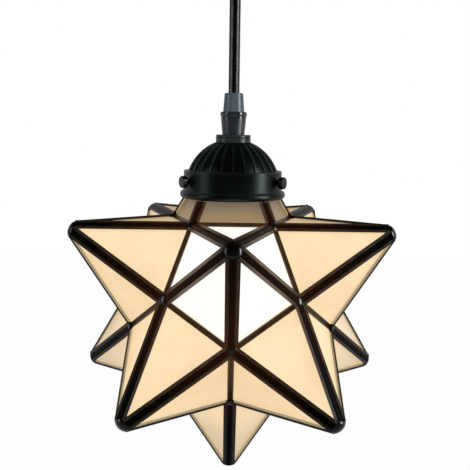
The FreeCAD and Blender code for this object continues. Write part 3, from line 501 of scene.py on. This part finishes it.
def addCord(look):
    clearSelection()
    line = bpy.data.curves.new("cord", "CURVE")
    line.dimensions = "3D"
    run = line.splines.new("NURBS")
    run.points.add(len(cord["points"]) - 1)
    for point, level in zip(run.points, cord["points"]):
        point.co = (0, 0, level * mm, 1)
    run.order_u = 3
    run.use_endpoint_u = True
    line.resolution_u = 12
    piece = bpy.data.objects.new("cord", line)
    scene.collection.objects.link(piece)
    bare = bpy.data.meshes.new_from_object(piece)
    line.bevel_depth = cord["radius"] * mm
    line.bevel_resolution = 10
    line.use_fill_caps = True
    line.materials.append(look)
    bpy.context.view_layer.objects.active = piece
    piece.select_set(True)
    bpy.ops.object.convert(target="MESH")
    piece = bpy.context.object
    bpy.ops.object.shade_smooth_by_angle(angle=math.radians(40))
    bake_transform(piece)
    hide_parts("cord_bend", "cord_free")
    print("cord laid")


# star: twelve five-sided points on a dodecahedron with edges of base, in millimetres. It hangs with
# one face up, and the point on that face is sawn off. saw and capStart are heights above a face,
# valleyTurn is in degrees

golden = (1 + math.sqrt(5)) / 2
star = {"base": 52.0, "saw": 15.4, "capStart": 63.7, "tilt": math.atan(2), "valleyTurn": 126}
star["face"] = golden ** 2 / (2 * math.sqrt(3 - golden)) * star["base"]
star["corner"] = star["base"] / (2 * math.sin(math.pi / 5))
star["lean"] = math.asin(star["corner"] / (golden * star["base"]))


def pointTurns():
    turns = {"top": Matrix.Identity(4), "bottom": Matrix.Rotation(math.pi, 4, "X")}
    lean = Matrix.Rotation(star["tilt"], 4, "X") @ Matrix.Rotation(math.pi, 4, "Z")
    for k in range(5):
        around = Matrix.Rotation(math.radians(72 * k), 4, "Z")
        turns["upper_%d" % (k + 1)] = around @ lean
        turns["lower_%d" % (k + 1)] = around @ Matrix.Rotation(math.pi, 4, "X") @ lean
    return turns


def placeCopies(pattern, places, name):
    clearSelection()
    copies = []
    for place in places:
        copy = pattern.copy()
        copy.data = pattern.data.copy()
        scene.collection.objects.link(copy)
        copy.matrix_world = place
        copies.append(copy)
    bpy.data.objects.remove(pattern)
    for copy in copies:
        copy.select_set(True)
    bpy.context.view_layer.objects.active = copies[0]
    bpy.ops.object.join()
    bpy.ops.object.transform_apply(location=True, rotation=True, scale=True)
    made = bpy.context.object
    made.name = name
    return made


def handOver(piece, slotName, body, *replaced):
    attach(piece, body)
    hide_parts(*replaced)


def pickFaces(piece, wanted):
    bpy.ops.object.mode_set(mode="EDIT")
    bpy.ops.mesh.select_mode(type="FACE")
    bpy.ops.mesh.select_all(action="DESELECT")
    bpy.ops.object.mode_set(mode="OBJECT")
    for face in piece.data.polygons:
        face.select = wanted(face)
    bpy.ops.object.mode_set(mode="EDIT")


def cutAway(piece, through, normal):
    bpy.ops.object.mode_set(mode="EDIT")
    bpy.ops.mesh.select_all(action="SELECT")
    bpy.ops.mesh.bisect(plane_co=through, plane_no=normal, use_fill=True, clear_outer=True)
    piece.active_material_index = 0
    bpy.ops.object.material_slot_assign()
    bpy.ops.object.mode_set(mode="OBJECT")


# strip: a came across each ridge, in millimetres, with a gently sloping flange on either side of a
# raised core and a heart below that closes the gap between two panes. Each step goes inward and
# outward. Looks in order: core, heart, flanges

strip = {"width": 8.6, "lift": 0.15, "edge": 0.1, "steps": ((2.1, 0.35), (0.6, 0.5), (1.0, 0.15)),
         "length": 96.0, "below": 6.0, "past": 1.3, "mitreGap": 0.02, "heart": 0.6,
         "heartGlass": (8.0, 1.5), "heartDeep": 2.5}


def ridgeStrip(sawn, looks):
    clearSelection()
    bpy.ops.mesh.primitive_cube_add(size=1)
    piece = bpy.context.object
    piece.scale = (strip["width"] * mm, strip["edge"] * mm, strip["length"] * mm)
    middle = strip["lift"] + strip["edge"] / 2
    piece.location = (0, -middle * mm, (strip["length"] / 2 - strip["below"]) * mm)
    bpy.ops.object.transform_apply(location=True, rotation=False, scale=True)
    pickFaces(piece, lambda face: face.normal.y < -0.9)
    for inward, outward in strip["steps"]:
        bpy.ops.mesh.inset(thickness=inward * mm, depth=outward * mm)
    bpy.ops.object.mode_set(mode="OBJECT")
    for look in looks:
        piece.data.materials.append(look)
    # the flanges take the third look, the painted sheen
    flange = strip["width"] / 2 - strip["steps"][0][0]
    pickFaces(piece, lambda face: face.normal.y < -0.6 and abs(face.center.x) > flange * mm)
    piece.active_material_index = 2
    bpy.ops.object.material_slot_assign()
    # the heart takes the second look, the painted glow
    pickFaces(piece, lambda face: face.normal.y > 0.9)
    bpy.ops.mesh.inset(thickness=(strip["width"] - strip["heart"]) / 2 * mm, depth=0)
    piece.active_material_index = 1
    spread, drop = strip["heartGlass"]
    for wide, deep in ((spread, drop), (1.0, strip["heartDeep"])):
        bpy.ops.mesh.extrude_region_move(TRANSFORM_OT_translate={"value": (0, deep * mm, 0)})
        bpy.ops.transform.resize(value=(wide, 1, 1), center_override=(0, 0, 0))
        bpy.ops.mesh.select_more()
        bpy.ops.object.material_slot_assign()
        bpy.ops.mesh.select_less()
    bpy.ops.object.mode_set(mode="OBJECT")
    corner = Vector((0, -star["corner"], star["face"])) * mm
    piece.matrix_world = Matrix.Translation(corner) @ Matrix.Rotation(-star["lean"], 4, "X")
    bpy.ops.object.transform_apply(location=True, rotation=True, scale=True)
    for side in (-1, 1):
        turn = math.radians(star["valleyTurn"] * side)
        valley = Vector((math.sin(turn), -math.cos(turn), 0))
        away = valley.cross(corner).normalized() * side
        cutAway(piece, corner - away * strip["mitreGap"] * mm, away)
    top = star["face"] + (star["saw"] if sawn else star["capStart"] + strip["past"])
    cutAway(piece, (0, 0, top * mm), (0, 0, 1))
    return piece


def addStrips(*looks):
    turns = pointTurns()
    centre = Matrix.Translation(starCentre)
    around = [Matrix.Rotation(math.radians(36 + 72 * k), 4, "Z") for k in range(5)]
    places = [centre @ turn @ spin for name, turn in turns.items() if name != "top" for spin in around]
    whole = placeCopies(ridgeStrip(False, looks), places, "ridge_strips")
    short = placeCopies(ridgeStrip(True, looks), [centre @ spin for spin in around], "sawn_strips")
    handOver(whole, "came_metal", "shade", *["ridge_cames_" + name for name in pointNames[1:]])
    handOver(short, "came_metal", "shade", "ridge_cames_top")
    print("ridge strips modelled")


# solder: a low lump over each hub and a rounded cap on each tip, in millimetres

lump = {"radius": 4.8, "height": 2.7, "sink": 0.2, "rough": 0.05, "seed": 3, "turnStep": 2.4,
        "sizeSwing": 0.06, "sizeStep": 5.1, "gather": 12.0}
cap = {"radius": 5.4, "height": 2.7, "level": 64.5, "cut": -1.5, "rough": 0.03, "seed": 7,
       "turnStep": 1.7}


def solderBall(look, shape):
    clearSelection()
    bpy.ops.mesh.primitive_uv_sphere_add(segments=24, ring_count=14, radius=1)
    piece = bpy.context.object
    bpy.ops.object.mode_set(mode="EDIT")
    bpy.ops.mesh.select_all(action="SELECT")
    bpy.ops.transform.vertex_random(offset=shape["rough"], uniform=0.0, normal=0.0,
                                    seed=shape["seed"])
    bpy.ops.mesh.vertices_smooth(factor=0.5, repeat=1)
    bpy.ops.object.mode_set(mode="OBJECT")
    piece.scale = (shape["radius"] * mm, shape["radius"] * mm, shape["height"] * mm)
    bpy.ops.object.transform_apply(location=True, rotation=True, scale=True)
    bpy.ops.object.shade_smooth()
    piece.data.materials.append(look)
    return piece


def middlesOf(name):
    groups = []
    for vertex in nodes[name].data.vertices:
        for group in groups:
            if (group[0] - vertex.co).length < lump["gather"] * mm:
                group.append(vertex.co.copy())
                break
        else:
            groups.append([vertex.co.copy()])
    return [Vector([(min(line) + max(line)) / 2 for line in zip(*group)]) for group in groups]


def addSolder(look):
    places = []
    for number, hub in enumerate(middlesOf("solder_beads")):
        out = (hub - starCentre).normalized()
        spin = Matrix.Rotation(lump["turnStep"] * number, 4, "Z")
        size = Matrix.Scale(1 + lump["sizeSwing"] * math.sin(lump["sizeStep"] * number), 4)
        turn = out.to_track_quat("Z", "Y").to_matrix().to_4x4()
        places.append(Matrix.Translation(hub - out * lump["sink"] * mm) @ turn @ spin @ size)
    print("hubs: %d" % len(places))
    lumps = placeCopies(solderBall(look, lump), places, "solder_lumps")
    handOver(lumps, "solder", "shade", "solder_beads")
    ball = solderBall(look, cap)
    cutAway(ball, (0, 0, cap["cut"] * mm), (0, 0, -1))
    rise = Matrix.Translation((0, 0, (star["face"] + cap["level"]) * mm))
    places = []
    for number, (name, turn) in enumerate(pointTurns().items()):
        if name != "top":
            spin = Matrix.Rotation(cap["turnStep"] * number, 4, "Z")
            places.append(Matrix.Translation(starCentre) @ turn @ rise @ spin)
    caps = placeCopies(ball, places, "tip_solder")
    handOver(caps, "solder", "shade", "tip_caps")
    print("solder modelled")


def dressNodes():
    addPaints()
    dress(collarBlack(), "neck_collar")
    dress(fitterBlack(), "shade_fitter")
    dress(cameMetal("valleyCamePaintedGlow"), "valley_cames")
    came = cameMetal("cameMetal")
    dress(came, "solder_beads", "tip_caps", *["ridge_cames_" + name for name in pointNames])
    dress(starGlass(), *["panes_" + name for name in pointNames])
    sheath = cordSheath()
    dress(sheath, "cord_in_canopy", "cord_in_fitter")
    print("materials given")
    addStrips(came, heartPaintedGlow(), cameMetal("cameRimPaintedSheen"))
    addSolder(cameMetal("solderMetal"))
    addCord(sheath)


# room: white floor and backdrop for the camera, soft light on the object.
# backdrop, ceiling and floorWhite: where the mirrored white fades, from and to, and its levels there

room = {"floor": -1.3, "size": 12.0, "floorGrey": 0.3, "floorRough": 0.9, "floorShare": 0.985,
        "backdrop": (-0.4, 0.9, 0.03, 0.5), "ceiling": (0.15, 0.6, 1.0, 0.1),
        "floorWhite": (-0.2, 0.6, 0.03, 0.4), "fill": 0.45, "lampSpread": 70}
lamps = {"leftBox": {"place": (-1.05, -0.40, 0.0), "size": (0.35, 1.2), "power": 0.4, "mirrored": True},
         "rightBox": {"place": (1.05, -0.40, 0.0), "size": (0.35, 1.2), "power": 1.8, "mirrored": True},
         "frontBox": {"place": (0.0, -1.6, 0.5), "size": (0.9, 0.9), "power": 2.2, "mirrored": False}}


def whiteSeen(tree, path, mirrored):
    mirrored = mathNode(tree, "MULTIPLY", path.outputs["Is Glossy Ray"], mirrored)
    seen = mathNode(tree, "MAXIMUM", path.outputs["Is Camera Ray"], path.outputs["Is Transmission Ray"])
    return mathNode(tree, "MAXIMUM", seen, mirrored)


def roomSurface():
    made, tree, shader = newMaterial("roomWhite", rough=room["floorRough"])
    shader["Base Color"].default_value = (room["floorGrey"],) * 3 + (1,)
    back = axesOf(tree)[1]
    path = addNode(tree, "ShaderNodeLightPath")
    seen = whiteSeen(tree, path, stretched(tree, back, *room["floorWhite"], smooth=True))
    white = addNode(tree, "ShaderNodeEmission")
    white.inputs["Strength"].default_value = 1.0
    mix = addNode(tree, "ShaderNodeMixShader")
    tree.links.new(mathNode(tree, "MULTIPLY", seen, room["floorShare"]), mix.inputs["Fac"])
    tree.links.new(tree.nodes["Principled BSDF"].outputs["BSDF"], mix.inputs[1])
    tree.links.new(white.outputs["Emission"], mix.inputs[2])
    tree.links.new(mix.outputs["Shader"], tree.nodes["Material Output"].inputs["Surface"])
    return made


def addFloor():
    clearSelection()
    bpy.ops.mesh.primitive_plane_add(size=room["size"], location=(0, 0, room["floor"]))
    floor = bpy.context.object
    floor.name = "floor"
    floor.data.materials.append(roomSurface())


def addWorld():
    world = bpy.data.worlds.new("roomLight")
    world.use_nodes = True
    scene.world = world
    tree = world.node_tree
    sky = tree.nodes["Background"]
    path = addNode(tree, "ShaderNodeLightPath")
    back, level = axesOf(tree, "Generated")[1:]
    pale = mathNode(tree, "MULTIPLY", stretched(tree, back, *room["backdrop"], smooth=True),
                    stretched(tree, level, *room["ceiling"], smooth=True))
    seen = whiteSeen(tree, path, pale)
    fill = mathNode(tree, "MULTIPLY", path.outputs["Is Diffuse Ray"], room["fill"])
    sky.inputs["Color"].default_value = (1, 1, 1, 1)
    tree.links.new(mathNode(tree, "MAXIMUM", seen, fill), sky.inputs["Strength"])


def addLamps():
    for name, look in lamps.items():
        bpy.ops.object.light_add(type="AREA", location=look["place"])
        lamp = bpy.context.object
        lamp.name = name
        lamp.data.shape = "RECTANGLE"
        lamp.data.size, lamp.data.size_y = look["size"]
        lamp.data.energy = look["power"]
        lamp.data.spread = math.radians(room["lampSpread"])
        lamp.visible_glossy = look["mirrored"]
        aim = (starCentre - Vector(look["place"])).to_track_quat("-Z", "Y")
        lamp.rotation_euler = aim.to_euler()
    print("room and lamps set")


addCamera()
makeGroups()
dressNodes()
addFloor()
addWorld()
addLamps()
scene.view_settings.view_transform = "Standard"
